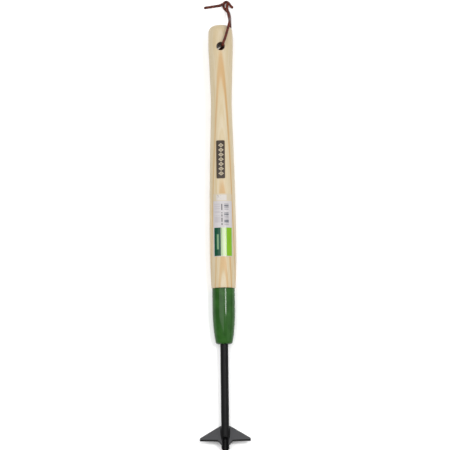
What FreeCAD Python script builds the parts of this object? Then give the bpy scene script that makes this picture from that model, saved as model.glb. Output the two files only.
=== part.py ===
import FreeCAD, Part

# Stand up weeder: an ash handle in a painted steel ferrule, on a round steel shank with a forged
# gouge tip and two foot treads, with a knotted leather thong through the grip end.
#
# The tool is built along its own axis: +Y runs from the gouge tip to the crown of the grip, +X is to
# the right when the badge is towards the viewer, and +Z points at the viewer.  It is then laid on its
# back on a floor at Z = 0, on the belly of the handle and the ferrule, with the grip end raised.
# All sizes are in millimetres.

import math
import os

from FreeCAD import Vector

# ---------------------------------------------------------------- overall sizes along the axis
OVERALL_LENGTH = 646.0       # gouge tip to crown of the grip
FERRULE_NOSE_Y = 159.6       # flat nose face of the ferrule, where the shank comes out
FERRULE_LENGTH = 83.7
SHANK_DIAMETER = 12.0
TANG_LENGTH = 72.0           # shank hidden inside the ferrule and the handle

# ---------------------------------------------------------------- handle
BELLY_RADIUS = 20.15         # fullest part, above the ferrule
WAIST_RADIUS = 15.95         # narrowest part, below the grip
GRIP_RADIUS = 18.8
SHOULDER_RADIUS = 18.1       # where the wood meets the ferrule
SHOULDER_BEVEL = 1.2
BELLY_FROM_SHOULDER = 58.0
WAIST_FROM_CROWN = 119.0
GRIP_FROM_CROWN = 24.0
CROWN_CORNER = 10.0          # rounding between the side and the flat crown
TENON_CLEARANCE = 0.05       # glue line between the tenon and the ferrule
BORE_CLEARANCE = 0.05        # glue line between the tang and its bore
BORE_END_GAP = 3.0

# ---------------------------------------------------------------- hanging hole
HOLE_FROM_CROWN = 35.0
HOLE_DIAMETER = 12.0
HOLE_CHAMFER = 1.4

# ---------------------------------------------------------------- ferrule
FERRULE_RADIUS = 17.1
FERRULE_WALL = 1.2
FERRULE_STRAIGHT = 32.3      # parallel stretch at the mouth
FERRULE_TAPER_ARC = 280.0    # radius of the long curve down to the nose
FERRULE_NOSE_ROUND = 4.0
NOSE_CLEARANCE = 0.10        # between the nose hole and the shank

# ---------------------------------------------------------------- cross pin
PIN_DIAMETER = 4.0
PIN_FROM_MOUTH = 22.0
PIN_CLEARANCE = 0.03

# ---------------------------------------------------------------- gouge tip of the shank
TIP_ROUND_HEIGHT = 5.0       # height of the rounded end, seen from the front
GOUGE_RADIUS = 4.3           # scooped channel in the front of the tip
GOUGE_OFFSET = 5.2           # channel centre in front of the shank's axis
GOUGE_LENGTH = 17.0
BACK_BEVEL_LENGTH = 15.0     # bevel behind the tip
BACK_BEVEL_DEPTH = 4.2

# ---------------------------------------------------------------- foot treads
TREAD_SPAN = 76.0
TREAD_THICKNESS = 4.3
TREAD_SLOPE = 38.0           # degrees between the tread and the shank, past the root
TREAD_PIVOT_Y = 24.0         # where the tread's middle plane crosses the shank's axis
TREAD_TOP_AT_ROOT = 39.0
TREAD_TOP_DROP = 0.60        # fall of the top edge for each millimetre outwards
TREAD_BEVEL = 1.1
TREAD_ROOT_X = 4.6
# distance out, height of the lower edge, share of the full slope: the root twists into the tread
TREAD_STATIONS = (
    (TREAD_ROOT_X, 8.0, 0.20),
    (7.0, 10.6, 0.42),
    (9.2, 13.6, 0.72),
    (12.0, 15.6, 1.0),
    (TREAD_SPAN / 2, 16.2, 1.0),
)
WELD_RADIUS = 1.9
WELD_BOTTOM_Y = 14.0
WELD_TOP_Y = 36.0

# ---------------------------------------------------------------- badge and product label
BADGE_LENGTH = 58.5
BADGE_WIDTH = 13.3
BADGE_CORNER = 2.0
BADGE_THICKNESS = 0.4
BADGE_BOTTOM_Y = 408.0
BADGE_OFFSET_X = -2.0
LABEL_LENGTH = 95.0
LABEL_WIDTH = 27.8
LABEL_CORNER = 1.5
LABEL_THICKNESS = 0.25
LABEL_BOTTOM_Y = 290.0
SKIN_GAP = 0.02              # adhesive under the badge and the label

# ---------------------------------------------------------------- thong, in the laid-down frame
THONG_DIAMETER = 4.0
KNOT_CENTRE = Vector(9.0, 357.6, 5.3)
KNOT_HALF_WIDTH = 6.4
KNOT_HALF_HEIGHT = 5.3
FRONT_ROUTE = (
    (2.9, 289.2, 34.0), (3.0, 288.7, 43.2), (3.1, 288.5, 51.4), (4.5, 292.0, 56.6),
    (6.9, 297.4, 57.7), (9.2, 305.0, 57.8), (11.2, 312.4, 57.7), (13.1, 319.2, 56.2),
    (14.1, 325.6, 50.2), (14.3, 329.6, 40.4), (14.0, 332.4, 30.0), (13.4, 336.5, 20.0),
    (12.2, 342.8, 12.3), (10.8, 349.6, 8.2), (9.8, 354.6, 7.2),
)
BACK_ROUTE = (
    (2.9, 289.2, 34.0), (2.8, 289.6, 24.8), (3.0, 289.9, 14.6), (4.5, 292.7, 9.4),
    (7.4, 299.0, 6.6), (10.9, 307.2, 4.6), (13.9, 316.2, 3.2), (15.1, 325.4, 2.6),
    (14.6, 334.6, 2.3), (12.8, 343.2, 2.3), (10.4, 350.6, 2.7), (9.4, 354.6, 3.5),
)
LONG_TAIL_ROUTE = (
    (6.0, 358.2, 4.7), (-1.6, 358.4, 3.9), (-9.6, 357.9, 2.7), (-17.3, 356.8, 2.2), (-24.8, 355.6, 2.1),
)
SHORT_TAIL_ROUTE = ((12.0, 357.3, 4.2), (19.4, 356.9, 2.3))

# ---------------------------------------------------------------- derived sizes
FERRULE_MOUTH_Y = FERRULE_NOSE_Y + FERRULE_LENGTH
SHANK_RADIUS = SHANK_DIAMETER / 2
TANG_END_Y = FERRULE_NOSE_Y + TANG_LENGTH
HOLE_Y = OVERALL_LENGTH - HOLE_FROM_CROWN
HANDLE_REACH = 60.0          # half height of the cutters that pass right through the handle


def turned(edges):
    """A solid of revolution about the tool's axis from edges in the X >= 0 half of the XY plane."""
    face = Part.Face(Part.Wire(edges))
    return face.revolve(Vector(0, 0, 0), Vector(0, 1, 0), 360)


def chain(points):
    """Straight edges through (radius, height) points in turn."""
    corners = [Vector(x, y, 0) for x, y in points]
    return [Part.LineSegment(a, b).toShape() for a, b in zip(corners, corners[1:])]


def handle_side(extra=0.0):
    """The handle's outer side from shoulder to crown corner, as one smooth curve, grown by extra."""
    shoulder = FERRULE_MOUTH_Y + SHOULDER_BEVEL
    belly = FERRULE_MOUTH_Y + BELLY_FROM_SHOULDER
    waist = OVERALL_LENGTH - WAIST_FROM_CROWN
    grip = OVERALL_LENGTH - GRIP_FROM_CROWN
    fall = BELLY_RADIUS - WAIST_RADIUS
    rise = GRIP_RADIUS - WAIST_RADIUS
    span = waist - belly
    stations = [
        (SHOULDER_RADIUS, shoulder),
        ((SHOULDER_RADIUS + BELLY_RADIUS) / 2 + 0.2, shoulder + 0.42 * (belly - shoulder)),
        (BELLY_RADIUS, belly),
        (BELLY_RADIUS - 0.15 * fall, belly + 0.32 * span),
        (BELLY_RADIUS - 0.47 * fall, belly + 0.62 * span),
        (BELLY_RADIUS - 0.88 * fall, belly + 0.88 * span),
        (WAIST_RADIUS, waist),
        (WAIST_RADIUS + 0.46 * rise, waist + 0.48 * (grip - waist)),
        (GRIP_RADIUS, grip),
        (GRIP_RADIUS - 0.55, OVERALL_LENGTH - CROWN_CORNER),
    ]
    curve = Part.BSplineCurve()
    curve.interpolate([Vector(r + extra, y, 0) for r, y in stations])
    return curve


def handle_profile(extra=0.0):
    """Outer side plus rounded crown, from the shoulder up to the axis at the crown."""
    side = handle_side(extra)
    last = side.EndPoint
    corner = CROWN_CORNER + extra
    middle = Vector(last.x - corner, last.y, 0)
    diagonal = middle + Vector(corner * math.sin(math.pi / 4), corner * math.cos(math.pi / 4), 0)
    top = middle + Vector(0, corner, 0)
    crown = Part.Arc(last, diagonal, top).toShape()
    flat = Part.LineSegment(top, Vector(0, top.y, 0)).toShape()
    return side, [side.toShape(), crown, flat]


def ferrule_edges(inset):
    """Ferrule profile from the axis at the nose to its mouth, moved inwards by inset."""
    radius = FERRULE_RADIUS - inset
    bend_y = FERRULE_MOUTH_Y - FERRULE_STRAIGHT
    nose_y = FERRULE_NOSE_Y + inset
    arc_r = FERRULE_TAPER_ARC - inset
    corner = FERRULE_NOSE_ROUND - inset
    centre_x = FERRULE_RADIUS - FERRULE_TAPER_ARC
    # the nose rounding touches the flat nose face and the long arc from inside
    round_y = nose_y + corner
    round_x = centre_x + math.sqrt((arc_r - corner) ** 2 - (bend_y - round_y) ** 2)
    out = math.atan2(round_y - bend_y, round_x - centre_x)
    touch = Vector(centre_x + arc_r * math.cos(out), bend_y + arc_r * math.sin(out), 0)
    half = (out - math.pi / 2) / 2
    bow = Vector(round_x + corner * math.cos(half), round_y + corner * math.sin(half), 0)
    foot = Vector(round_x, nose_y, 0)
    bend = Vector(radius, bend_y, 0)
    middle = Vector(centre_x + arc_r * math.cos(out / 2), bend_y + arc_r * math.sin(out / 2), 0)
    mouth = Vector(radius, FERRULE_MOUTH_Y, 0)
    return [
        Part.LineSegment(Vector(0, nose_y, 0), foot).toShape(),
        Part.Arc(foot, bow, touch).toShape(),
        Part.Arc(touch, middle, bend).toShape(),
        Part.LineSegment(bend, mouth).toShape(),
    ]


def cross_bore(radius, reach):
    """A cylinder across the tool along X at the pin's station."""
    y = FERRULE_MOUTH_Y - PIN_FROM_MOUTH
    return Part.makeCylinder(radius, 2 * reach, Vector(-reach, y, 0), Vector(1, 0, 0))


def make_handle():
    tenon_inset = FERRULE_WALL + TENON_CLEARANCE
    edges = ferrule_edges(tenon_inset)
    side, outer = handle_profile()
    mouth = edges[-1].Vertexes[-1].Point
    shoulder = Vector(SHOULDER_RADIUS - SHOULDER_BEVEL / 2, FERRULE_MOUTH_Y + TENON_CLEARANCE, 0)
    neck = Vector(mouth.x, shoulder.y, 0)
    edges += [
        Part.LineSegment(mouth, neck).toShape(),
        Part.LineSegment(neck, shoulder).toShape(),
        Part.LineSegment(shoulder, side.StartPoint).toShape(),
    ]
    top = outer[-1].Vertexes[-1].Point
    edges += outer
    edges.append(Part.LineSegment(top, edges[0].Vertexes[0].Point).toShape())
    body = turned(edges)
    bore_r = SHANK_RADIUS + BORE_CLEARANCE
    bore_depth = TANG_LENGTH + BORE_END_GAP - tenon_inset
    start = Vector(0, FERRULE_NOSE_Y + tenon_inset, 0)
    body = body.cut(Part.makeCylinder(bore_r, bore_depth, start, Vector(0, 1, 0)))
    body = body.cut(cross_bore(PIN_DIAMETER / 2 + PIN_CLEARANCE, HANDLE_REACH))
    down = Vector(0, HOLE_Y, -HANDLE_REACH)
    body = body.cut(Part.makeCylinder(HOLE_DIAMETER / 2, 2 * HANDLE_REACH, down, Vector(0, 0, 1)))
    for facing in (1, -1):
        # the countersink starts inside the wood and opens past the surface
        depth = 3 * HOLE_CHAMFER
        start = Vector(0, HOLE_Y, facing * (GRIP_RADIUS - HOLE_CHAMFER))
        cone = Part.makeCone(HOLE_DIAMETER / 2, HOLE_DIAMETER / 2 + depth, depth, start, Vector(0, 0, facing))
        body = body.cut(cone)
    return body


def make_ferrule():
    outer = ferrule_edges(0.0)
    inner = ferrule_edges(FERRULE_WALL)
    shells = []
    for edges in (outer, inner):
        first = edges[0].Vertexes[0].Point
        mouth = edges[-1].Vertexes[-1].Point
        closing = chain([(mouth.x, mouth.y), (0, mouth.y), (0, first.y)])
        shells.append(turned(edges + closing))
    below_nose = Vector(0, FERRULE_NOSE_Y - FERRULE_WALL, 0)
    nose = Part.makeCylinder(SHANK_RADIUS + NOSE_CLEARANCE, 4 * FERRULE_WALL, below_nose, Vector(0, 1, 0))
    sleeve = shells[0].cut(shells[1]).cut(nose)
    return sleeve.cut(cross_bore(PIN_DIAMETER / 2 + PIN_CLEARANCE, HANDLE_REACH))


def make_cross_pin():
    """A pin driven through ferrule, handle and tang, ground flush with the ferrule."""
    pin = cross_bore(PIN_DIAMETER / 2, HANDLE_REACH)
    skin = Part.makeCylinder(FERRULE_RADIUS, FERRULE_LENGTH, Vector(0, FERRULE_NOSE_Y, 0), Vector(0, 1, 0))
    return pin.common(skin)


def make_shank():
    """Round bar, with the tang end bevelled and the other end forged to a rounded gouge."""
    bevel = 2.0
    bar = turned(chain([
        (0, 0), (SHANK_RADIUS, 0), (SHANK_RADIUS, TANG_END_Y - bevel),
        (SHANK_RADIUS - bevel, TANG_END_Y), (0, TANG_END_Y), (0, 0),
    ]))
    bar = bar.cut(cross_bore(PIN_DIAMETER / 2 + PIN_CLEARANCE, HANDLE_REACH))
    # rounded end, seen from the front: an elliptic outline carried through the bar
    reach = 2 * SHANK_RADIUS
    left = Vector(-SHANK_RADIUS, TIP_ROUND_HEIGHT, -reach)
    right = Vector(SHANK_RADIUS, TIP_ROUND_HEIGHT, -reach)
    arc = Part.Arc(left, Vector(0, 0, -reach), right)
    below = [
        arc.toShape(),
        Part.LineSegment(right, right + Vector(reach, 0, 0)).toShape(),
        Part.LineSegment(right + Vector(reach, 0, 0), Vector(SHANK_RADIUS + reach, -reach, -reach)).toShape(),
        Part.LineSegment(Vector(SHANK_RADIUS + reach, -reach, -reach),
                         Vector(-SHANK_RADIUS - reach, -reach, -reach)).toShape(),
        Part.LineSegment(Vector(-SHANK_RADIUS - reach, -reach, -reach), left - Vector(reach, 0, 0)).toShape(),
        Part.LineSegment(left - Vector(reach, 0, 0), left).toShape(),
    ]
    bar = bar.cut(Part.Face(Part.Wire(below)).extrude(Vector(0, 0, 2 * reach)))
    # scooped channel with a round upper end
    centre = Vector(0, GOUGE_LENGTH, GOUGE_OFFSET)
    channel = Part.makeCylinder(GOUGE_RADIUS, GOUGE_LENGTH + reach, centre, Vector(0, -1, 0))
    bar = bar.cut(channel.fuse(Part.makeSphere(GOUGE_RADIUS, centre)))
    # bevel behind the tip
    wedge = Part.makePolygon([
        Vector(-reach, BACK_BEVEL_LENGTH, -SHANK_RADIUS),
        Vector(-reach, -reach, -SHANK_RADIUS + BACK_BEVEL_DEPTH * (1 + reach / BACK_BEVEL_LENGTH)),
        Vector(-reach, -reach, -2 * reach),
        Vector(-reach, BACK_BEVEL_LENGTH, -2 * reach),
        Vector(-reach, BACK_BEVEL_LENGTH, -SHANK_RADIUS),
    ])
    return bar.cut(Part.Face(wedge).extrude(Vector(2 * reach, 0, 0)))


def outline(corners):
    """A closed wire of straight edges through the corners."""
    return Part.makePolygon(list(corners) + [corners[0]])


def tread_section(x, low, share):
    """The tread cut at distance x from the axis: a sloping bar with its front top corner bevelled."""
    slope = math.radians(TREAD_SLOPE * share)
    along = Vector(0, math.cos(slope), -math.sin(slope))
    front = Vector(0, math.sin(slope), math.cos(slope))
    top = TREAD_TOP_AT_ROOT - TREAD_TOP_DROP * (x - TREAD_ROOT_X)
    pivot = Vector(x, TREAD_PIVOT_Y, 0)
    lower = pivot + along * ((low - TREAD_PIVOT_Y) / math.cos(slope))
    upper = pivot + along * ((top - TREAD_PIVOT_Y) / math.cos(slope))
    half = front * (TREAD_THICKNESS / 2)
    corners = [
        lower - half, lower + half,
        upper + half - along * TREAD_BEVEL, upper + half - front * TREAD_BEVEL,
        upper - half,
    ]
    return corners


def make_tread(shank, hand):
    """One foot tread: a pressed plate that twists from the side of the shank out to its slope."""
    sections = [tread_section(*station) for station in TREAD_STATIONS]
    root = Part.makeLoft([outline(corners) for corners in sections[:-1]], True, True)
    # past the root the slope is constant, so every side of the plate is a true plane
    near, far = sections[-2:]
    sides = [Part.Face(outline(near)), Part.Face(outline(far))]
    for i in range(len(near)):
        j = (i + 1) % len(near)
        sides.append(Part.Face(outline([near[i], near[j], far[j], far[i]])))
    plate = root.fuse(Part.Solid(Part.Shell(sides)))
    plate = plate.cut(shank)
    plate = max(plate.Solids, key=lambda solid: solid.Volume)
    if hand < 0:
        plate = plate.mirror(Vector(0, 0, 0), Vector(1, 0, 0))
    return plate


def make_welds(shank, treads):
    """Four fillet welds, in front of and behind each tread, along the side of the shank."""
    beads = []
    slope = math.radians(TREAD_SLOPE * TREAD_STATIONS[1][2])
    for hand in (1, -1):
        for face in (1, -1):
            ends = []
            for y in (WELD_BOTTOM_Y, WELD_TOP_Y):
                z = (TREAD_PIVOT_Y - y) * math.tan(slope) + face * TREAD_THICKNESS / 2
                x = math.sqrt(max(SHANK_RADIUS ** 2 - z ** 2, 4.0))
                ends.append(Vector(hand * x, y, z))
            along = ends[1] - ends[0]
            bead = Part.makeCylinder(WELD_RADIUS, along.Length, ends[0], along)
            for end in ends:
                bead = bead.fuse(Part.makeSphere(WELD_RADIUS, end))
            for other in (shank, *treads):
                bead = bead.cut(other)
            beads.append(max(bead.Solids, key=lambda solid: solid.Volume))
    return Part.makeCompound(beads)


def make_skin(width, length, corner, thickness, bottom_y, offset_x):
    """A thin rounded rectangle wrapped on the front of the handle."""
    shells = []
    for extra in (SKIN_GAP + thickness, SKIN_GAP):
        side, edges = handle_profile(extra)
        top = edges[-1].Vertexes[-1].Point
        closing = chain([(0, top.y), (0, side.StartPoint.y), (side.StartPoint.x, side.StartPoint.y)])
        shells.append(turned(edges + closing))
    sheet = Part.makeBox(width, length, HANDLE_REACH, Vector(offset_x - width / 2, bottom_y, 1.0))
    uprights = [e for e in sheet.Edges if abs(e.tangentAt(e.FirstParameter).z) > 0.99]
    return shells[0].cut(shells[1]).common(sheet.makeFillet(corner, uprights))


def tube(route, name):
    """A round cord along straight runs joined by tangent arcs, each as large as its two runs allow."""
    points = [Vector(*p) for p in route]
    edges = []
    start = points[0]
    radii = []
    for before, corner, after in zip(points, points[1:], points[2:]):
        back = before - corner
        ahead = after - corner
        reach = 0.45 * min(back.Length, ahead.Length)
        back.normalize()
        ahead.normalize()
        turn = math.pi - back.getAngle(ahead)
        radius = reach / math.tan(turn / 2)
        radii.append(radius)
        enter = corner + back * reach
        leave = corner + ahead * reach
        inward = back + ahead
        inward.normalize()
        to_centre = radius / math.cos(turn / 2)
        middle = corner + inward * (to_centre - radius)
        edges.append(Part.LineSegment(start, enter).toShape())
        edges.append(Part.Arc(enter, middle, leave).toShape())
        start = leave
    edges.append(Part.LineSegment(start, points[-1]).toShape())
    path = Part.Wire(edges)
    outline = Part.Wire(Part.Circle(points[0], points[1] - points[0], THONG_DIAMETER / 2).toShape())
    solid = path.makePipeShell([outline], True, True)
    expected = math.pi * THONG_DIAMETER ** 2 / 4 * path.Length
    shown = ", ".join(f"{r:.1f}" for r in radii) or "none"
    print(f"{name}: length {path.Length:.1f}, volume ratio {solid.Volume / expected:.4f}, radii {shown}")
    return solid


def make_knot():
    """The knot as one closed rounded solid."""
    half = Part.ArcOfEllipse(
        Part.Ellipse(Vector(0, 0, 0), KNOT_HALF_WIDTH, KNOT_HALF_HEIGHT), 0, math.pi
    )
    axis_line = Part.LineSegment(half.EndPoint, half.StartPoint)
    face = Part.Face(Part.Wire([half.toShape(), axis_line.toShape()]))
    knot = face.revolve(Vector(0, 0, 0), Vector(1, 0, 0), 360)
    knot.translate(KNOT_CENTRE)
    return knot


def lowest(shape, lean):
    """Height of the shape's lowest point once it is turned about X by lean degrees."""
    turned_copy = shape.copy()
    turned_copy.Placement = FreeCAD.Placement(Vector(0, 0, 0), FreeCAD.Rotation(Vector(1, 0, 0), lean))
    return turned_copy.optimalBoundingBox(False).ZMin


def resting_lean(handle, ferrule):
    """Degrees by which the grip end is raised when the tool lies on its belly and its ferrule."""
    guesses = [1.0, 3.0]
    gaps = [lowest(ferrule, lean) - lowest(handle, lean) for lean in guesses]
    while abs(gaps[-1]) > 1e-4 and len(gaps) < 20:
        step = (guesses[-1] - guesses[-2]) / (gaps[-1] - gaps[-2])
        guesses.append(guesses[-1] - gaps[-1] * step)
        gaps.append(lowest(ferrule, guesses[-1]) - lowest(handle, guesses[-1]))
    return guesses[-1]


def laid_down(nodes):
    """The turn and shift that lay the tool on the floor, centred over its own length."""
    lean = resting_lean(nodes["handle"], nodes["ferrule"])
    turn = FreeCAD.Placement(Vector(0, 0, 0), FreeCAD.Rotation(Vector(1, 0, 0), lean))
    whole = Part.makeCompound([shape.copy() for shape in nodes.values()])
    whole.Placement = turn
    box = whole.optimalBoundingBox(False)
    shift = Vector(-box.Center.x, -box.Center.y, -box.ZMin)
    print(f"lean {lean:.4f} degrees, shift {shift.x:.4f} {shift.y:.4f} {shift.z:.4f}")
    return FreeCAD.Placement(shift, turn.Rotation)


def main():
    shank = make_shank()
    treads = [make_tread(shank, hand) for hand in (1, -1)]
    nodes = {
        "handle": make_handle(),
        "ferrule": make_ferrule(),
        "cross_pin": make_cross_pin(),
        "shank": shank,
        "right_tread": treads[0],
        "left_tread": treads[1],
        "tread_welds": make_welds(shank, treads),
        "badge": make_skin(
            BADGE_WIDTH, BADGE_LENGTH, BADGE_CORNER, BADGE_THICKNESS, BADGE_BOTTOM_Y, BADGE_OFFSET_X),
        "product_label": make_skin(
            LABEL_WIDTH, LABEL_LENGTH, LABEL_CORNER, LABEL_THICKNESS, LABEL_BOTTOM_Y, 0.0),
    }
    place = laid_down(nodes)
    for shape in nodes.values():
        shape.transformShape(place.toMatrix(), True)
    pivot = place.multVec(Vector(0, HOLE_Y, 0))
    facing = place.Rotation.multVec(Vector(0, 0, 1))
    print(f"hanging hole centre {pivot.x:.4f} {pivot.y:.4f} {pivot.z:.4f}, "
          f"axis {facing.x:.7f} {facing.y:.7f} {facing.z:.7f}")

    knot = make_knot()
    nodes["lanyard_knot"] = knot
    nodes["lanyard_front_strand"] = tube(FRONT_ROUTE, "front strand").cut(knot)
    nodes["lanyard_back_strand"] = tube(BACK_ROUTE, "back strand").cut(knot)
    nodes["lanyard_long_tail"] = tube(LONG_TAIL_ROUTE, "long tail").cut(knot)
    nodes["lanyard_short_tail"] = tube(SHORT_TAIL_ROUTE, "short tail").cut(knot)

    os.makedirs("parts", exist_ok=True)
    for name, shape in nodes.items():
        box = shape.optimalBoundingBox()
        print(f"{name}: valid {shape.isValid()} solids {len(shape.Solids)} volume {shape.Volume:.1f} "
              f"x {box.XMin:.1f} to {box.XMax:.1f} y {box.YMin:.1f} to {box.YMax:.1f} "
              f"z {box.ZMin:.1f} to {box.ZMax:.1f}")
        shape.exportStep(f"parts/{name}.step")


main()
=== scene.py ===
import math

import bpy
import numpy as np
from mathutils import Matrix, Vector


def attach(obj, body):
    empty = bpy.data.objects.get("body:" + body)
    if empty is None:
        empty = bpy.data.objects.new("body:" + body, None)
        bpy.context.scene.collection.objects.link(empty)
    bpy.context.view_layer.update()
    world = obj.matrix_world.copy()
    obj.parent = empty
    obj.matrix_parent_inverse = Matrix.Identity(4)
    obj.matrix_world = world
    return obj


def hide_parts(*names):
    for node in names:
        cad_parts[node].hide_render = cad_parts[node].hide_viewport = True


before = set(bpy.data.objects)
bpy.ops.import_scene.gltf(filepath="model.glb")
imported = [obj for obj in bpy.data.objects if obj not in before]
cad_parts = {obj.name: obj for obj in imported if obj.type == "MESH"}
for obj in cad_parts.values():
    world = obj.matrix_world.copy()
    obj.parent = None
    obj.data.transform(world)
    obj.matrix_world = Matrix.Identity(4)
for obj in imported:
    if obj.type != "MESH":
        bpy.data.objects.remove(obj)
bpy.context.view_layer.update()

# ---------------------------------------------------------------- the tool's own axes
# u runs across the tool, s from the digging tip to the crown, w out of its front; all in millimetres.
# The tool lies on its back, leaning a little, so s and w are turned about X.
HOLE_AT = np.array([0.0, 0.2876809, 0.0315813])
HOLE_S = 611.0
W_DIR = np.array([0.0, -0.0357824, 0.9993596])
S_DIR = np.array([0.0, 0.9993596, 0.0357824])
LENGTH = 646.0


def placed(u, s, w):
    """Points of the tool's own axes in the shared frame, in metres."""
    u, s, w = np.broadcast_arrays(u, s, w)
    return (HOLE_AT + u[..., None] * np.array([0.001, 0, 0])
            + (s[..., None] - HOLE_S) * S_DIR * 0.001 + w[..., None] * W_DIR * 0.001)


# ---------------------------------------------------------------- camera
SEEN_WIDTH = 0.6795          # metres across the view at the tool
CAMERA_AWAY = 3.0
CAMERA_RISE = 80.95          # degrees above the floor
AIM = placed(np.array(3.4), np.array(339.6), np.array(0.0))
CAMERA_ROLL = 0.7            # degrees; the crown leans a little to the left

camera_data = bpy.data.cameras.new("camera")
camera_data.sensor_width = 36.0
camera_data.lens = 36.0 * CAMERA_AWAY / SEEN_WIDTH
camera = bpy.data.objects.new("camera", camera_data)
bpy.context.scene.collection.objects.link(camera)
rise = math.radians(CAMERA_RISE)
back = Vector((0.0, -math.cos(rise), math.sin(rise)))
camera.location = Vector(AIM) + back * CAMERA_AWAY
camera.rotation_euler = (-back).to_track_quat("-Z", "Y").to_euler()
camera.rotation_euler.rotate_axis("Z", math.radians(-CAMERA_ROLL))
bpy.context.scene.camera = camera

# ---------------------------------------------------------------- thong: two cords from the hanging hole
THONG = 0.004
FRONT_POINTS = (
    (2.9, 289.2, 34.0), (3.0, 288.7, 43.2), (3.1, 288.5, 51.4), (4.5, 292.0, 56.6),
    (6.9, 297.4, 57.7), (9.2, 305.0, 57.8), (11.2, 312.4, 57.7), (13.1, 319.2, 56.2),
    (14.1, 325.6, 50.2), (14.3, 329.6, 40.4), (14.2, 332.8, 30.0), (13.8, 338.0, 20.0),
    (12.9, 344.8, 13.0), (11.7, 352.0, 10.2), (10.2, 357.4, 10.4), (11.2, 362.6, 10.0),
    (12.6, 366.8, 7.0), (8.6, 368.4, 3.4), (4.0, 365.2, 2.3), (-1.6, 363.0, 2.4),
    (-9.6, 362.0, 2.4), (-17.3, 361.0, 2.2), (-24.8, 359.8, 2.1),
)
BACK_POINTS = (
    (2.9, 289.2, 34.0), (-2.2, 287.0, 25.4), (-2.6, 287.6, 15.6), (1.8, 291.4, 8.6),
    (6.6, 298.8, 6.4), (10.9, 307.2, 4.6), (13.9, 316.2, 3.2), (15.1, 325.4, 2.6),
    (14.9, 335.2, 2.3), (14.6, 344.6, 2.3), (13.4, 352.2, 2.5), (9.2, 355.0, 3.2),
    (5.6, 358.8, 5.4), (4.6, 363.2, 8.6), (7.4, 366.6, 11.4), (11.6, 366.2, 12.2),
    (14.6, 363.2, 9.8), (16.4, 360.8, 5.8), (19.0, 360.0, 2.8),
)


def thong_cord(name, points):
    """A round thong whose middle line is one smooth open spline led by the given points."""
    data = bpy.data.curves.new(name, "CURVE")
    data.dimensions = "3D"
    line = data.splines.new("NURBS")
    line.points.add(len(points) - 1)
    xyz = np.array(points) * 0.001
    line.points.foreach_set("co", np.hstack([xyz, np.ones((len(xyz), 1))]).ravel())
    line.order_u = 3
    line.use_endpoint_u = True
    line.resolution_u = 10
    data.bevel_depth = THONG / 2
    data.bevel_resolution = 6
    data.use_fill_caps = True
    cord = bpy.data.objects.new(name, data)
    bpy.context.scene.collection.objects.link(cord)
    return cord


front_cord = thong_cord("thong_front", FRONT_POINTS)
back_cord = thong_cord("thong_back", BACK_POINTS)

# ---------------------------------------------------------------- surface helpers


def hermite(stations, at):
    """Monotone cubic through (position, value) stations.

    The slope at a station is the harmonic mean of the chords beside it, and flat at a peak.
    """
    xs, ys = np.array(stations, float).T
    chord = np.diff(ys) / np.diff(xs)
    inner = np.zeros(len(chord) - 1)
    same = chord[:-1] * chord[1:] > 0
    inner[same] = 2 * chord[:-1][same] * chord[1:][same] / (chord[:-1] + chord[1:])[same]
    slope = np.concatenate([[chord[0]], inner, [chord[-1]]])
    at = np.clip(at, xs[0], xs[-1])
    k = np.clip(np.searchsorted(xs, at) - 1, 0, len(xs) - 2)
    step = xs[k + 1] - xs[k]
    t = (at - xs[k]) / step
    return ((2 * t**3 - 3 * t**2 + 1) * ys[k] + (t**3 - 2 * t**2 + t) * step * slope[k]
            + (3 * t**2 - 2 * t**3) * ys[k + 1] + (t**3 - t**2) * step * slope[k + 1])


def closed_grid(name, u, s, w, ring=False, sharp=35):
    """A closed skin over a grid of points, each row joined round to its own start.

    The two end rows fan to their middles; with ring, the last row joins the first instead.
    """
    grid = placed(u, s, w)
    rows, around = grid.shape[:2]
    index = np.arange(rows * around).reshape(rows, around)
    here = index if ring else index[:-1]
    above = np.roll(index, -1, axis=0) if ring else index[1:]
    faces = np.stack([here, np.roll(here, -1, 1), np.roll(above, -1, 1), above], -1).reshape(-1, 4).tolist()
    verts = grid.reshape(-1, 3)
    if not ring:
        ends = np.stack([grid[0].mean(0), grid[-1].mean(0)])
        verts = np.vstack([verts, ends])
        n = rows * around
        first = np.stack([np.roll(index[0], -1), index[0], np.full(around, n)], -1)
        last = np.stack([index[-1], np.roll(index[-1], -1), np.full(around, n + 1)], -1)
        faces += first.tolist() + last.tolist()
    # the signed volume tells which way the faces point
    shifted = verts - verts.mean(0)
    quads = shifted[np.array(faces[: here.size])]
    halves = np.cross(quads[:, 1], quads[:, 2]) + np.cross(quads[:, 2], quads[:, 3])
    volume = np.einsum("ij,ij->", quads[:, 0], halves)
    if not ring:
        fans = shifted[np.array(faces[here.size:])]
        volume += np.einsum("ij,ij->", fans[:, 0], np.cross(fans[:, 1], fans[:, 2]))
    if volume < 0:
        faces = [f[::-1] for f in faces]
    mesh = bpy.data.meshes.new(name)
    mesh.from_pydata(verts.tolist(), [], faces)
    mesh.polygons.foreach_set("use_smooth", np.ones(len(mesh.polygons), bool))
    mesh.set_sharp_from_angle(angle=math.radians(sharp))
    mesh.update()
    piece = bpy.data.objects.new(name, mesh)
    bpy.context.scene.collection.objects.link(piece)
    return piece


def lathe(name, radius, s, around=192, ring=False, sharp=35):
    """A turned piece: a (radius, s) profile swept round the axis, u = radius sin a and w = radius cos a."""
    turn_by = np.linspace(0, 2 * np.pi, around, endpoint=False)[None, :]
    radius, s = np.asarray(radius)[:, None], np.asarray(s)[:, None]
    u, w = radius * np.sin(turn_by), radius * np.cos(turn_by)
    return closed_grid(name, u, s + 0 * turn_by, w, ring, sharp)


def arc_profile(r_mid, s_mid, radius, start, end, count=9):
    """Points of a circular arc in the (radius, s) plane; 0 degrees is outwards, 90 is towards the crown."""
    a = np.radians(np.linspace(start, end, count))
    return r_mid + radius * np.cos(a), s_mid + radius * np.sin(a)


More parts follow.
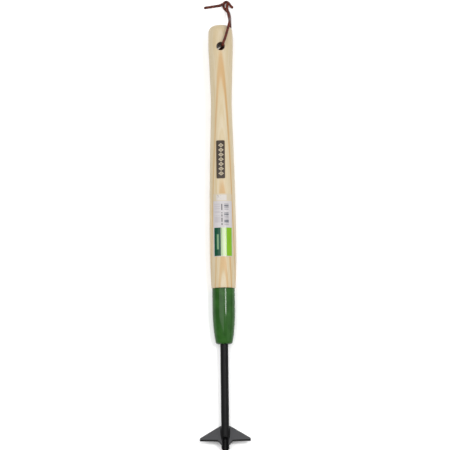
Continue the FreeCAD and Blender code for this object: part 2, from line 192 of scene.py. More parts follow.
# ---------------------------------------------------------------- turned ash handle
SHOULDER = 244.5
CROWN_FROM = 636.0
CROWN_ARC = 10.0
HOLE_RADIUS = 6.0
FERRULE_RADIUS = 17.1
FERRULE_ARC = 280.0
FERRULE_STRAIGHT_TO = 211.0
FERRULE_WALL = 1.2
HANDLE_STATIONS = (
    (SHOULDER, 18.1), (268.4, 19.33), (301.3, 20.15), (373.5, 19.52), (441.2, 18.18), (499.9, 16.45),
    (527.0, 15.95), (572.6, 17.26), (622.0, 18.8), (CROWN_FROM, 18.25),
)


def handle_radius(s):
    """The turned wood's radius: the monotone cubic through its stations."""
    return hermite(HANDLE_STATIONS, s)


def ferrule_radius(s, inset=0.0):
    """Radius 17.1 from the mouth to s 211, then an arc of 280 that narrows to the nose, less the inset."""
    down = np.maximum(0.0, FERRULE_STRAIGHT_TO - s)
    return np.sqrt((FERRULE_ARC - inset) ** 2 - down**2) - (FERRULE_ARC - FERRULE_RADIUS)


def make_handle():
    """Turned profile with a drilled cross hole.

    The tenon is the ferrule's curve set in by 1.3. The body follows its stations, from a shoulder with an
    edge arc of 1.1 to a crown arc of 10. The drill is 6 in radius and flares by a quarter wave at each face.
    """
    tenon = np.linspace(164.0, 243.0, 40)
    body = np.linspace(SHOULDER, CROWN_FROM, 260)
    shoulder_r, shoulder_s = arc_profile(17.0, 244.45, 1.1, -90, 0, 8)
    crown_r, crown_s = arc_profile(handle_radius(CROWN_FROM) - CROWN_ARC, CROWN_FROM, CROWN_ARC, 4, 90, 26)
    crown_in = np.linspace(crown_r[-1], 0.4, 8)[1:]
    radius = np.concatenate([[11.0], ferrule_radius(tenon, 1.3), [15.6], shoulder_r, handle_radius(body[1:]),
                             crown_r, crown_in])
    s = np.concatenate([[163.0], tenon, [243.35], shoulder_s, body[1:], crown_s, np.full(7, LENGTH)])
    piece = lathe("ash_handle", radius, s, 192)
    # the drill's shape: a straight hole that flares with a soft lip at both faces
    lip = np.linspace(0, np.pi / 2, 9)
    out_w = np.concatenate([[0.0], 17.0 + 1.8 * np.sin(lip), [19.6, 30.0]])
    out_r = np.concatenate([[HOLE_RADIUS], HOLE_RADIUS + 1.2 * (1 - np.cos(lip)), [8.2, 18.6]])
    drill_w = np.concatenate([-out_w[::-1], out_w[1:]])[:, None]
    drill_r = np.concatenate([out_r[::-1], out_r[1:]])[:, None]
    a = np.linspace(0, 2 * np.pi, 96, endpoint=False)[None, :]
    drill = closed_grid("drill", drill_r * np.sin(a), HOLE_S + drill_r * np.cos(a), drill_w + 0 * a)
    cut = piece.modifiers.new("hole", "BOOLEAN")
    cut.operation = "DIFFERENCE"
    cut.object = drill
    cut.solver = "EXACT"
    depsgraph = bpy.context.evaluated_depsgraph_get()
    depsgraph.update()
    mesh = bpy.data.meshes.new_from_object(piece.evaluated_get(depsgraph))
    piece.modifiers.clear()
    piece.data = mesh
    mesh.set_sharp_from_angle(angle=math.radians(30))
    bpy.data.objects.remove(drill)
    return piece


def make_ferrule():
    """Pressed cup turned as a closed ring: outer curve, the same curve set in by the 1.2 wall, and end arcs.

    The nose is flat about the shank's hole, then an arc of 4; the rolled mouth is a half circle of 0.6.
    """
    outer_s = np.linspace(163.9, 242.5, 80)
    nose_r, nose_s = arc_profile(9.0, 163.6, 4.0, -90, -8, 10)
    lip_r, lip_s = arc_profile(16.5, 242.7, 0.6, 0, 180, 9)
    inner_s = np.linspace(242.0, 166.0, 60)
    outer_r, inner_r = ferrule_radius(outer_s), ferrule_radius(inner_s, FERRULE_WALL)
    radius = np.concatenate([[6.15], nose_r, outer_r, lip_r, inner_r, [9.0, 6.15]])
    s = np.concatenate([[159.6], nose_s, outer_s, lip_s, inner_s, [160.8, 160.8]])
    return lathe("ferrule_cup", radius, s, 192, ring=True)


# ---------------------------------------------------------------- forged shank with a gouge point
BAR_RADIUS = 6.0
SCOOP_REACH = 4.75
SCOOP_TO = 17.0


def make_shank():
    """Round bar of radius 6 with a scooped front, a ground back and a rounded end.

    The end is set back at its sides by 5 (1 - sqrt(1 - (u / 6) squared)), fading out by 24 from the end.
    The scoop's floor is 6.2 less 5.3 times the power 0.7 of (1 - share). The back is ground off in a
    straight slope from s 15, the first 1.4 closes in as a quarter circle, and the hidden top end draws in
    by a third.
    """
    a = np.linspace(0, 2 * np.pi, 240, endpoint=False)[None, :]
    near = np.concatenate([np.linspace(0, 1.4, 8), np.linspace(1.7, 26, 150), np.linspace(28, 228.0, 60)])
    near = near[:, None]
    u = BAR_RADIUS * np.sin(a) * np.ones_like(near)
    tip = 5.0 * (1 - np.sqrt(np.clip(1 - (u / BAR_RADIUS) ** 2, 0, 1)))
    s = near + tip * np.clip(1 - near / 24.0, 0, 1)
    w = BAR_RADIUS * np.cos(a) * np.ones_like(near)
    # share: squared distance from the scoop's middle line over its squared reach, 0 in it and 1 at its edge
    share = (u**2 + np.clip(s - SCOOP_TO, 0, None) ** 2) / SCOOP_REACH**2
    scoop = np.where(share < 1, 6.2 - 5.3 * np.clip(1 - share, 0, 1) ** 0.7, 9.0)
    ground = -BAR_RADIUS + 4.2 * np.clip(1 - s / 15.0, 0, 1)
    w = np.clip(w, np.minimum(ground, 5.0), None)
    w = np.minimum(w, np.maximum(scoop, ground + 0.3))
    edge = np.clip(near / 1.4, 0, 1)
    middle = (np.minimum(scoop, BAR_RADIUS * np.abs(np.cos(a))) + ground) / 2
    w = middle + (w - middle) * np.sqrt(1 - (1 - edge) ** 2)
    tang = np.clip((near - 226.0) / 2.0, 0, 1)
    return closed_grid("shank_bar", u * (1 - 0.33 * tang), s, w * (1 - 0.33 * tang), sharp=32)


# ---------------------------------------------------------------- foot treads
TREAD_ROOT = 4.6             # the first and last distance from the middle
TREAD_TIP = 38.0
TREAD_SLOPE = 38.0           # degrees
TREAD_PIVOT = 24.0           # the place along s that its sections turn about
TREAD_HALF = 2.15            # half its thickness
TREAD_TOP_AT_ROOT = 39.0
TREAD_TOP_DROP = 0.60
TREAD_TIP_ARC = 0.7
TREAD_LOW = ((TREAD_ROOT, 8.0), (7.0, 10.6), (9.2, 13.6), (12.0, 15.6), (TREAD_TIP, 16.2))
TREAD_SHARE = ((TREAD_ROOT, 0.20), (7.0, 0.42), (9.2, 0.72), (12.0, 1.0), (TREAD_TIP, 1.0))


def make_tread(name, hand):
    """A pressed plate 4.3 thick whose five-cornered section changes with the distance x from the middle.

    The section turns about s 24 from a fifth of the slope at the shank to the full 38 degrees at x 12. Its
    top falls by 0.60 for each millimetre out, one long edge is cut back by 1.1, each corner is a small
    quadratic curve, and the tip draws in by a quarter circle of 0.7.
    """
    end = np.linspace(0, np.pi / 2, 7)
    arc_from = TREAD_TIP - TREAD_TIP_ARC
    x = np.concatenate([np.linspace(TREAD_ROOT, 12.0, 30), np.linspace(12.8, arc_from, 30),
                        arc_from + TREAD_TIP_ARC * np.sin(end[1:])])
    shrink = np.concatenate([np.zeros(60), TREAD_TIP_ARC * (1 - np.cos(end[1:]))])
    slope = np.radians(TREAD_SLOPE) * np.minimum(hermite(TREAD_SHARE, x), 1.0)
    low = (hermite(TREAD_LOW, x) - TREAD_PIVOT) / np.cos(slope) + shrink
    top_line = TREAD_TOP_AT_ROOT - TREAD_TOP_DROP * (x - TREAD_ROOT)
    top = (top_line - TREAD_PIVOT) / np.cos(slope) - shrink
    half = TREAD_HALF - shrink
    bevel = 1.1
    corners = np.stack([
        np.stack([low, -half], -1), np.stack([low, half], -1), np.stack([top - bevel, half], -1),
        np.stack([top, half - bevel], -1), np.stack([top, -half], -1)], 1)
    # each corner becomes a small curve that leaves and joins its two sides
    to_next = np.roll(corners, -1, 1) - corners
    to_last = np.roll(corners, 1, 1) - corners
    soft = 0.45
    leave = corners + to_last / np.linalg.norm(to_last, axis=-1, keepdims=True) * soft
    join = corners + to_next / np.linalg.norm(to_next, axis=-1, keepdims=True) * soft
    t = np.linspace(0, 1, 6)[None, None, :, None]
    rounded = ((1 - t) ** 2 * leave[:, :, None] + 2 * t * (1 - t) * corners[:, :, None]
               + t**2 * join[:, :, None])
    section = rounded.reshape(len(x), -1, 2)
    cos, sin = np.cos(slope)[:, None], np.sin(slope)[:, None]
    s = TREAD_PIVOT + section[..., 0] * cos + section[..., 1] * sin
    w = -section[..., 0] * sin + section[..., 1] * cos
    return closed_grid(name, hand * x[:, None] + 0 * s, s, w, sharp=40)


def make_weld(name, hand, face):
    """A fillet bead beside the shank: a tube of radius 1.5 along the joint.

    Its radius ripples by a few hundredths and dies away at both ends as a power of a half wave.
    """
    slope = math.radians(TREAD_SLOPE * 0.42)
    run = np.linspace(0, 1, 90)[:, None]
    s = 14.0 + 22.0 * run
    w = (TREAD_PIVOT - s) * math.tan(slope) + face * TREAD_HALF
    x = np.sqrt(np.maximum(BAR_RADIUS**2 - w**2, 4.0))
    ripple = 1 + 0.03 * np.abs(np.sin(run * np.pi * 13)) + 0.02 * np.sin(run * 41 + face)
    radius = 1.5 * ripple * np.clip(np.sin(run * np.pi), 0.02, 1) ** 0.35
    a = np.linspace(0, 2 * np.pi, 28, endpoint=False)[None, :]
    return closed_grid(name, hand * (x + radius * np.cos(a)), s + 0 * a, w + radius * np.sin(a), sharp=60)


# ---------------------------------------------------------------- badge and label
def make_skin(name, middle, width, bottom, length, corner, thick):
    """A thin sheet wrapped on the handle: w = sqrt((handle radius + lift) squared - u squared).

    The outline is a rectangle with quarter-circle corners, and lift is one height all over its face.
    """
    inset = corner * (1 - np.cos(np.linspace(0, np.pi / 2, 8)))
    run = np.concatenate([inset, np.linspace(corner, length - corner, 60)[1:-1], (length - inset)[::-1]])
    run = run[:, None]
    from_end = np.minimum(run, length - run)
    short = corner - np.sqrt(np.clip(corner**2 - (corner - np.minimum(from_end, corner)) ** 2, 0, None))
    half = width / 2 - short
    across = np.linspace(-1, 1, 41)[None, :]
    u = middle + half * np.concatenate([across, across[:, ::-1]], 1)
    s = bottom + run + 0 * u
    lift = np.concatenate([np.full(41, 0.02 + thick), np.full(41, 0.02)])[None, :]
    w = np.sqrt((handle_radius(s) + lift) ** 2 - u**2)
    return closed_grid(name, u, s, w, sharp=50)


handle = make_handle()
ferrule = make_ferrule()
shank = make_shank()
right_tread = make_tread("tread_right", 1)
left_tread = make_tread("tread_left", -1)
welds = [make_weld(f"weld_{side}_{place}", hand, face)
         for side, hand in (("right", 1), ("left", -1)) for place, face in (("front", 1), ("behind", -1))]
badge = make_skin("badge_strip", middle=-2.0, width=13.3, bottom=408.0, length=58.5, corner=2.0, thick=0.4)
label = make_skin("paper_label", middle=0.0, width=27.8, bottom=290.0, length=95.0, corner=1.5, thick=0.25)


# ---------------------------------------------------------------- materials
class Nodes:
    """Short words for building a node tree."""

    def __init__(self, tree):
        self.tree = tree

    def add(self, kind, **values):
        node = self.tree.nodes.new(kind)
        for key, value in values.items():
            setattr(node, key, value)
        return node

    def put(self, socket, value):
        if isinstance(value, bpy.types.NodeSocket):
            self.tree.links.new(value, socket)
        else:
            socket.default_value = value

    def math(self, operation, *values):
        node = self.add("ShaderNodeMath", operation=operation)
        for socket, value in zip(node.inputs, values):
            self.put(socket, value)
        return node.outputs[0]

    def mix(self, amount, first, second):
        node = self.add("ShaderNodeMix", data_type="RGBA")
        self.put(node.inputs[0], amount)
        self.put(node.inputs[6], first)
        self.put(node.inputs[7], second)
        return node.outputs[2]

    def ramp(self, value, low, high):
        node = self.add("ShaderNodeMapRange", interpolation_type="SMOOTHSTEP")
        for socket, v in zip(node.inputs[:3], (value, low, high)):
            self.put(socket, v)
        return node.outputs[0]

    def xyz(self, x, y, z):
        node = self.add("ShaderNodeCombineXYZ")
        for socket, v in zip(node.inputs, (x, y, z)):
            self.put(socket, v)
        return node.outputs[0]

    def noise(self, where, scale, detail=3.0, rough=0.5):
        node = self.add("ShaderNodeTexNoise")
        self.put(node.inputs["Vector"], where)
        node.inputs["Scale"].default_value = scale
        node.inputs["Detail"].default_value = detail
        node.inputs["Roughness"].default_value = rough
        return node.outputs["Fac"]

    def white(self, value):
        node = self.add("ShaderNodeTexWhiteNoise", noise_dimensions="1D")
        self.put(node.inputs["W"], value)
        return node.outputs["Value"]

    def bump(self, height, distance, strength=1.0):
        node = self.add("ShaderNodeBump")
        node.inputs["Strength"].default_value = strength
        node.inputs["Distance"].default_value = distance
        self.put(node.inputs["Height"], height)
        return node.outputs["Normal"]

    def group(self, tree, **values):
        node = self.add("ShaderNodeGroup", node_tree=tree)
        for key, value in values.items():
            self.put(node.inputs[key], value)
        return node.outputs


def srgb(r, g, b):
    """An everyday 0 to 255 colour as the linear one the shader takes."""
    c = np.array([r, g, b]) / 255.0
    c = np.where(c <= 0.04045, c / 12.92, ((c + 0.055) / 1.055) ** 2.4)
    return (*[float(v) for v in c], 1.0)


def new_group(name, inputs, outputs):
    """A shader node group with named inputs and outputs, and short words for filling it."""
    tree = bpy.data.node_groups.new(name, "ShaderNodeTree")
    for word, kind, value in inputs:
        socket = tree.interface.new_socket(word, in_out="INPUT", socket_type=kind)
        if value is not None:
            socket.default_value = value
    for word, kind in outputs:
        tree.interface.new_socket(word, in_out="OUTPUT", socket_type=kind)
    n = Nodes(tree)
    return tree, n, n.add("NodeGroupInput").outputs, n.add("NodeGroupOutput").inputs


# where a point is on the tool: across, along and out, in millimetres
tool_place, n, _, out = new_group(
    "place on the tool", [], [("Across", "NodeSocketFloat"), ("Along", "NodeSocketFloat"),
                              ("Out", "NodeSocketFloat"), ("Place", "NodeSocketVector")])
apart = n.add("ShaderNodeSeparateXYZ")
n.put(apart.inputs[0], n.add("ShaderNodeTexCoord").outputs["Object"])
px, py, pz = apart.outputs
py = n.math("SUBTRACT", py, float(HOLE_AT[1]))
pz = n.math("SUBTRACT", pz, float(HOLE_AT[2]))
across = n.math("MULTIPLY", px, 1000.0)
along = n.math("ADD", n.math("MULTIPLY", py, 1000.0 * S_DIR[1]),
               n.math("MULTIPLY", pz, 1000.0 * S_DIR[2]))
along = n.math("ADD", along, HOLE_S)
outward = n.math("ADD", n.math("MULTIPLY", py, 1000.0 * W_DIR[1]),
                 n.math("MULTIPLY", pz, 1000.0 * W_DIR[2]))
n.put(out["Across"], across)
n.put(out["Along"], along)
n.put(out["Out"], outward)
n.put(out["Place"], n.xyz(across, along, outward))

# a soft-edged rectangle
patch, n, given, out = new_group(
    "patch", [("X", "NodeSocketFloat", 0.0), ("Y", "NodeSocketFloat", 0.0), ("Left", "NodeSocketFloat", 0.0),
              ("Right", "NodeSocketFloat", 1.0), ("Bottom", "NodeSocketFloat", 0.0),
              ("Top", "NodeSocketFloat", 1.0), ("Soft", "NodeSocketFloat", 0.15)],
    [("Mask", "NodeSocketFloat")])
sides = []
for far, near_side in ((given["X"], given["Left"]), (given["Right"], given["X"]),
                       (given["Y"], given["Bottom"]), (given["Top"], given["Y"])):
    sides.append(n.math("DIVIDE", n.math("SUBTRACT", far, near_side), given["Soft"]))
least = n.math("MINIMUM", n.math("MINIMUM", sides[0], sides[1]), n.math("MINIMUM", sides[2], sides[3]))
clamp = n.add("ShaderNodeClamp")
n.put(clamp.inputs[0], least)
n.put(out["Mask"], clamp.outputs[0])

# slightly uneven coated surface: a height for bumps and a patchy mask for gloss
uneven, n, given, out = new_group(
    "uneven coat", [("Place", "NodeSocketVector", None), ("Broad", "NodeSocketFloat", 0.15),
                    ("Fine", "NodeSocketFloat", 1.6)],
    [("Height", "NodeSocketFloat"), ("Patchy", "NodeSocketFloat")])
broad = n.add("ShaderNodeTexNoise")
n.put(broad.inputs["Vector"], given["Place"])
n.put(broad.inputs["Scale"], given["Broad"])
fine = n.add("ShaderNodeTexNoise")
n.put(fine.inputs["Vector"], given["Place"])
n.put(fine.inputs["Scale"], given["Fine"])
n.put(out["Height"], n.math("ADD", fine.outputs["Fac"], broad.outputs["Fac"]))
n.put(out["Patchy"], broad.outputs["Fac"])


def new_material(name):
    """A material with one Principled shader, and short words for its tree."""
    material = bpy.data.materials.new(name)
    material.use_nodes = True
    material.node_tree.nodes.clear()
    n = Nodes(material.node_tree)
    shader = n.add("ShaderNodeBsdfPrincipled")
    n.put(n.add("ShaderNodeOutputMaterial").inputs["Surface"], shader.outputs[0])
    return material, n, shader.inputs


def wood():
    """Flat-sawn ash: sloping growth layers cut by the round handle make long arches; fine grain and pores;
    painted shade darkens the wall of the cross hole.
    """
    material, n, skin = new_material("turned ash")
    at = n.group(tool_place)
    u, s, w = at["Across"], at["Along"], at["Out"]
    long_way = n.xyz(n.math("MULTIPLY", u, 0.07), n.math("MULTIPLY", s, 0.008), n.math("MULTIPLY", w, 0.07))
    drift = n.math("MULTIPLY", n.math("SUBTRACT", n.noise(long_way, 1.0, 3.0), 0.5), 46.0)
    arch = n.math("ADD", s, n.math("MULTIPLY", n.math("MULTIPLY", u, u), 0.95))
    arch = n.math("ADD", arch, n.math("MULTIPLY", n.math("SUBTRACT", 18.0, w), 1.6))
    arch = n.math("ADD", arch, drift)
    band = 0.0
    for apex, half, share in ((582.0, 25.0, 1.0), (394.0, 22.0, 0.95), (287.0, 18.0, 0.85)):
        off = n.math("ABSOLUTE", n.math("SUBTRACT", arch, apex))
        one = n.math("MULTIPLY", n.math("SUBTRACT", 1.0, n.ramp(off, 0.35 * half, 1.35 * half)), share)
        band = n.math("MAXIMUM", band, one)
    band = n.math("MULTIPLY", band, n.math("ADD", 0.74, n.math("MULTIPLY", n.ramp(u, -12.0, 10.0), 0.26)))
    second = n.math("FRACT", n.math("DIVIDE", arch, 31.0))
    thin = n.math("MULTIPLY", n.ramp(second, 0.45, 0.75), n.math("SUBTRACT", 1.0, n.ramp(second, 0.8, 0.98)))
    fibre_way = n.xyz(n.math("MULTIPLY", u, 1.6), n.math("MULTIPLY", s, 0.035), n.math("MULTIPLY", w, 1.6))
    fibre = n.noise(fibre_way, 1.0, 4.0, 0.6)
    pore_way = n.xyz(n.math("MULTIPLY", u, 4.0), n.math("MULTIPLY", s, 0.22), n.math("MULTIPLY", w, 4.0))
    pore = n.ramp(n.noise(pore_way, 1.0, 1.0), 0.66, 0.76)
    cloud = n.noise(n.xyz(n.math("MULTIPLY", u, 0.06), n.math("MULTIPLY", s, 0.012), w), 1.0, 2.0)
    colour = n.mix(n.ramp(cloud, 0.3, 0.7), srgb(183, 171, 146), srgb(178, 162, 130))
    colour = n.mix(n.math("MULTIPLY", thin, 0.22), colour, srgb(170, 149, 113))
    colour = n.mix(n.math("MULTIPLY", band, 0.85), colour, srgb(170, 132, 78))
    colour = n.mix(n.math("MULTIPLY", n.ramp(fibre, 0.42, 0.72), 0.30), colour, srgb(163, 141, 104))
    colour = n.mix(n.math("MULTIPLY", n.math("MULTIPLY", pore, n.math("ADD", 0.3, band)), 0.35), colour,
                   srgb(122, 92, 56))
    layers = n.math("ADD", w, n.math("MULTIPLY", n.math("MULTIPLY", u, u), 0.02))
    rings = n.math("FRACT", n.math("DIVIDE", layers, 2.6))
    late = n.math("MULTIPLY", n.ramp(rings, 0.35, 0.85), n.ramp(s, 643.5, 645.8))
    colour = n.mix(n.math("MULTIPLY", late, 0.7), colour, srgb(146, 114, 72))
    # painted shade: the wall of the cross hole is coloured deep brown, standing in for the shade inside the
    # hole
    from_hole = n.math("SQRT", n.math("ADD", n.math("MULTIPLY", u, u), n.math(
        "POWER", n.math("ABSOLUTE", n.math("SUBTRACT", s, HOLE_S)), 2.0)))
    drilled = n.math("SUBTRACT", 1.0, n.ramp(from_hole, 6.05, 6.9))
    colour = n.mix(n.math("MULTIPLY", drilled, 0.9), colour, srgb(66, 40, 26))
    n.put(skin["Base Color"], colour)
    n.put(skin["Roughness"], n.math("ADD", 0.36, n.math("MULTIPLY", fibre, 0.16)))
    skin["Specular IOR Level"].default_value = 0.25
    skin["Coat Weight"].default_value = 0.12
    skin["Coat Roughness"].default_value = 0.28
    n.put(skin["Normal"], n.bump(n.math("SUBTRACT", fibre, n.math("MULTIPLY", pore, 0.8)), 0.00006, 0.6))
    return material


def green_paint():
    """Glossy green enamel over the ferrule, slightly uneven, and a little darker at its mouth and nose:
    painted shade round the shank at the nose, and at the mouth painted shade under the wood's shoulder with
    some paint build-up.
    """
    material, n, skin = new_material("green enamel")
    at = n.group(tool_place)
    coat = n.group(uneven, Place=at["Place"], Broad=0.07, Fine=0.5)
    colour = n.mix(n.ramp(coat["Patchy"], 0.3, 0.7), srgb(28, 66, 18), srgb(36, 78, 24))
    # painted shade: the enamel darkens at the nose round the shank, and at the mouth under the wood's
    # shoulder, where some paint build-up adds to it
    mouth_shade_and_buildup = n.ramp(at["Along"], 240.8, 243.2)
    nose = n.math("SUBTRACT", 1.0, n.ramp(at["Along"], 159.5, 162.0))
    colour = n.mix(n.math("MULTIPLY", n.math("MAXIMUM", mouth_shade_and_buildup, nose), 0.45), colour, srgb(20, 44, 16))
    n.put(skin["Base Color"], colour)
    n.put(skin["Roughness"], n.math("ADD", 0.2, n.math("MULTIPLY", coat["Patchy"], 0.12)))
    skin["Specular IOR Level"].default_value = 0.05
    skin["Coat Weight"].default_value = 0.22
    skin["Coat Roughness"].default_value = 0.07
    n.put(skin["Normal"], n.bump(coat["Height"], 0.00005, 0.5))
    return material


def black_coat(name, dark, scuffed, painted_light=None):
    """Satin baked coat on forged steel, with a faint orange-peel surface and greyer scuffed spots.

    Given a painted_light colour, faces that look up and towards the crown take it as painted light, as if
    lit, and the rest stay dark.
    """
    material, n, skin = new_material(name)
    at = n.group(tool_place)
    coat = n.group(uneven, Place=at["Place"], Broad=0.12, Fine=1.1)
    worn = n.ramp(n.noise(at["Place"], 0.35, 6.0, 0.7), 0.56, 0.72)
    colour = n.mix(n.math("MULTIPLY", worn, 0.4), dark, scuffed)
    if painted_light:
        # painted light: faces turned up and towards the crown are mixed towards the paler colour, as if lit
        facing = n.add("ShaderNodeSeparateXYZ")
        n.put(facing.inputs[0], n.add("ShaderNodeTexCoord").outputs["Normal"])
        lit_facing = n.math("ADD", n.math("MULTIPLY", facing.outputs[1], 0.8),
                        n.math("MULTIPLY", facing.outputs[2], 0.6))
        colour = n.mix(n.ramp(lit_facing, 0.45, 0.75), colour, painted_light)
    n.put(skin["Base Color"], colour)
    skin["Specular IOR Level"].default_value = 0.10
    n.put(skin["Roughness"], n.math("ADD", 0.30, n.math("MULTIPLY", coat["Patchy"], 0.16)))
    n.put(skin["Normal"], n.bump(coat["Height"], 0.00012, 0.6))
    return material


def leather():
    """Dark red-brown thong leather: paler rubbed patches, fine dark creases and a dull sheen."""
    material, n, skin = new_material("thong leather")
    place = n.group(tool_place)["Place"]
    rubbed = n.noise(place, 0.22, 4.0, 0.6)
    crease = n.noise(place, 1.4, 5.0, 0.65)
    colour = n.mix(n.ramp(rubbed, 0.35, 0.7), srgb(52, 18, 12), srgb(104, 42, 26))
    colour = n.mix(n.math("MULTIPLY", n.ramp(crease, 0.55, 0.75), 0.5), colour, srgb(28, 11, 9))
    n.put(skin["Base Color"], colour)
    skin["Specular IOR Level"].default_value = 0.2
    n.put(skin["Roughness"], n.math("ADD", 0.42, n.math("MULTIPLY", crease, 0.2)))
    n.put(skin["Normal"], n.bump(crease, 0.0002, 0.6))
    return material


def badge_foil():
    """Dark brown strip with a paler border and a column of made-up lozenges, each round a small one."""
    material, n, skin = new_material("badge foil")
    at = n.group(tool_place)
    u, s = n.math("ADD", at["Across"], 2.0), at["Along"]
    row = n.math("DIVIDE", n.math("SUBTRACT", s, 412.0), 7.2)
    in_row = n.math("MULTIPLY", n.math("ABSOLUTE", n.math("SUBTRACT", n.math("FRACT", row), 0.5)), 7.2)
    lozenge = n.math("ADD", n.math("DIVIDE", n.math("ABSOLUTE", n.math("SUBTRACT", u, 0.6)), 4.1),
                     n.math("DIVIDE", in_row, 3.1))
    ring = n.math("SUBTRACT", 1.0, n.ramp(n.math("ABSOLUTE", n.math("SUBTRACT", lozenge, 0.78)), 0.16, 0.26))
    core = n.math("SUBTRACT", 1.0, n.ramp(lozenge, 0.22, 0.34))
    inside = n.group(patch, X=u, Y=s, Left=-5.0, Right=5.6, Bottom=411.8, Top=462.6, Soft=0.3)["Mask"]
    print_mask = n.math("MULTIPLY", n.math("MAXIMUM", ring, core), inside)
    plate = n.group(patch, X=u, Y=s, Left=-6.2, Right=6.2, Bottom=408.5, Top=466.0, Soft=0.3)["Mask"]
    colour = n.mix(plate, srgb(98, 80, 56), srgb(42, 30, 18))
    colour = n.mix(n.math("MULTIPLY", print_mask, 0.85), colour, srgb(184, 170, 144))
    n.put(skin["Base Color"], colour)
    skin["Roughness"].default_value = 0.34
    skin["Specular IOR Level"].default_value = 0.25
    n.put(skin["Normal"], n.bump(print_mask, 0.00012, 0.6))
    return material


def label_paper():
    """Glossy paper: pale field with faint rules and bars above, three coloured blocks below; no lettering."""
    material, n, skin = new_material("label paper")
    at = n.group(tool_place)
    u, s = at["Across"], at["Along"]

    def area(left, right, bottom, top, soft=0.2):
        return n.group(patch, X=u, Y=s, Left=left, Right=right, Bottom=bottom, Top=top, Soft=soft)["Mask"]

    paper = srgb(172, 168, 169)
    colour = n.mix(area(-14.5, 14.5, 373.6, 386.0), paper, srgb(176, 165, 144))
    colour = n.mix(area(-9.6, 6.6, 374.6, 383.4, 0.6), colour, srgb(180, 175, 170))
    spots = n.ramp(n.noise(n.xyz(u, s, 0.0), 0.42, 3.0), 0.54, 0.66)
    colour = n.mix(n.math("MULTIPLY", spots, n.math("MULTIPLY", area(-8.6, -2.2, 375.2, 382.6), 0.6)), colour,
                   srgb(112, 100, 102))
    # faint rules on the left
    rule = n.math("GREATER_THAN", n.math("FRACT", n.math("MULTIPLY", u, 0.55)), 0.58)
    grain = n.math("GREATER_THAN", n.white(n.math("FLOOR", n.math("MULTIPLY", s, 0.9))), 0.3)
    rules = n.math("MULTIPLY", n.math("MULTIPLY", rule, grain), area(-11.8, -3.4, 340.0, 370.0))
    colour = n.mix(n.math("MULTIPLY", rules, 0.42), colour, srgb(108, 104, 112))
    # a dark broken line, then grouped bars
    dash = n.math("GREATER_THAN", n.white(n.math("FLOOR", n.math("MULTIPLY", s, 0.62))), 0.28)
    broken = n.math("MULTIPLY", dash, area(-1.9, -0.2, 337.0, 371.0))
    colour = n.mix(n.math("MULTIPLY", broken, 0.9), colour, srgb(36, 38, 44))
    bar = n.math("GREATER_THAN", n.white(n.math("FLOOR", n.math("MULTIPLY", s, 1.15))), 0.46)
    in_group = n.math("FRACT", n.math("MULTIPLY", n.math("SUBTRACT", s, 337.0), 0.088))
    split = n.math("LESS_THAN", in_group, 0.86)
    bars = n.math("MULTIPLY", n.math("MULTIPLY", bar, split), area(2.4, 9.2, 337.0, 371.0))
    colour = n.mix(n.math("MULTIPLY", bars, 0.8), colour, srgb(66, 70, 80))
    # three coloured blocks
    colour = n.mix(area(-12.9, -3.0, 290.6, 333.6), colour, srgb(8, 62, 42))
    glow = area(-9.6, -5.6, 300.0, 324.0, 1.6)
    colour = n.mix(n.math("MULTIPLY", glow, 0.75), colour, srgb(128, 160, 122))
    colour = n.mix(area(-3.0, 5.3, 290.6, 333.6), colour, srgb(178, 188, 160))
    colour = n.mix(area(-2.2, -1.0, 291.0, 333.2), colour, srgb(92, 138, 62))
    colour = n.mix(area(3.2, 4.4, 291.0, 333.2), colour, srgb(150, 184, 92))
    colour = n.mix(area(5.3, 13.4, 290.6, 333.6), colour, srgb(106, 150, 24))
    stroke = area(8.9, 9.7, 308.0, 320.0, 0.3)
    colour = n.mix(n.math("MULTIPLY", stroke, 0.5), colour, srgb(66, 96, 20))
    n.put(skin["Base Color"], colour)
    skin["Roughness"].default_value = 0.3
    skin["Specular IOR Level"].default_value = 0.08
    skin["Coat Weight"].default_value = 0.14
    skin["Coat Roughness"].default_value = 0.12
    n.put(skin["Normal"], n.bump(n.noise(at["Place"], 0.5, 2.0), 0.00008, 0.5))
    return material


ash = wood()
enamel = green_paint()
coat_black = black_coat("satin black coat", srgb(8, 8, 9), srgb(24, 24, 26))
# the treads' coat: faces looking up and towards the crown get painted light, a paler colour as if lit
tread_black = black_coat("trodden black coat", srgb(8, 8, 9), srgb(24, 24, 26), srgb(66, 66, 68))
hide_brown = leather()
foil = badge_foil()
paper_print = label_paper()

for piece, material, slot, nodes in (
    (handle, ash, "ash_wood", ["handle"]),
    (ferrule, enamel, "green_paint", ["ferrule"]),
    (shank, coat_black, "black_coat", ["shank"]),
    (right_tread, tread_black, "black_coat", ["right_tread"]),
    (left_tread, tread_black, "black_coat", ["left_tread"]),
    *[(weld, coat_black, "black_coat", ["tread_welds"]) for weld in welds],
    (badge, foil, "badge_foil", ["badge"]),
    (label, paper_print, "label_paper", ["product_label"]),
):
    piece.data.materials.clear()
    piece.data.materials.append(material)
    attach(piece, "tool")
    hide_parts(*nodes)

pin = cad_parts["cross_pin"]
pin.data.materials.clear()
pin.data.materials.append(enamel)

for cord, nodes in (
    (front_cord, ["lanyard_front_strand", "lanyard_long_tail", "lanyard_knot"]),
    (back_cord, ["lanyard_back_strand", "lanyard_short_tail"]),
):
    cord.data.materials.append(hide_brown)
    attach(cord, "lanyard")
    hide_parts(*nodes)

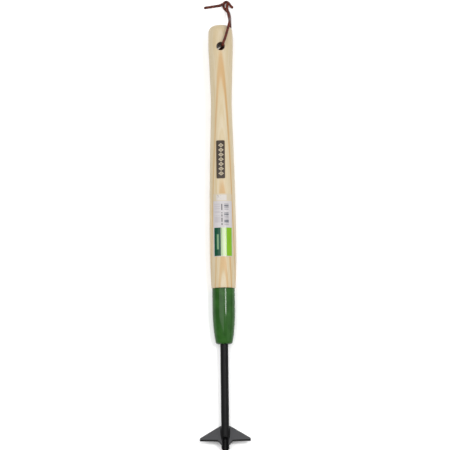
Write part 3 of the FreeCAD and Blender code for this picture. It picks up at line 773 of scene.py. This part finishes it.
# ---------------------------------------------------------------- floor and light
floor_mesh = bpy.data.meshes.new("floor")
floor_corners = [(-6, -6, -0.0005), (6, -6, -0.0005), (6, 6, -0.0005), (-6, 6, -0.0005)]
floor_mesh.from_pydata(floor_corners, [], [(0, 1, 2, 3)])
floor = bpy.data.objects.new("floor", floor_mesh)
bpy.context.scene.collection.objects.link(floor)
white, n, skin = new_material("studio white")
skin["Base Color"].default_value = (0.96, 0.96, 0.96, 1.0)
skin["Roughness"].default_value = 0.9
floor_mesh.materials.append(white)

# the room is brighter overhead and beyond the crown than at its sides
world = bpy.data.worlds.new("studio")
world.use_nodes = True
n = Nodes(world.node_tree)
way = n.add("ShaderNodeSeparateXYZ")
n.put(way.inputs[0], n.add("ShaderNodeTexCoord").outputs["Generated"])
glow = n.math("ADD", 0.42, n.math("MULTIPLY", n.math("MAXIMUM", way.outputs[2], 0.0), 0.30))
beyond = n.math("POWER", n.math("MAXIMUM", way.outputs[1], 0.0), 2.0)
glow = n.math("ADD", glow, n.math("MULTIPLY", beyond, 0.36))
backdrop = world.node_tree.nodes["Background"]
backdrop.inputs["Color"].default_value = (1.0, 1.0, 1.0, 1.0)
n.put(backdrop.inputs["Strength"], glow)
bpy.context.scene.world = world


def soft_light(name, place, aim, wide, tall, watts):
    """A rectangular lamp at place, turned to face aim."""
    data = bpy.data.lights.new(name, "AREA")
    data.shape = "RECTANGLE"
    data.size = wide
    data.size_y = tall
    data.energy = watts
    lamp = bpy.data.objects.new(name, data)
    bpy.context.scene.collection.objects.link(lamp)
    lamp.location = place
    lamp.rotation_euler = (Vector(aim) - Vector(place)).to_track_quat("-Z", "Y").to_euler()


soft_light("broad soft light", (-0.75, 0.2, 2.0), (0, 0, 0), wide=1.3, tall=1.8, watts=26)
soft_light("narrow strip", (0.65, 0.04, 1.8), (0, -0.12, 0), wide=0.34, tall=0.40, watts=15)
soft_light("right fill", (1.5, -0.2, 1.0), (0, 0, 0), wide=1.0, tall=1.5, watts=5)

bpy.context.scene.view_settings.view_transform = "Standard"
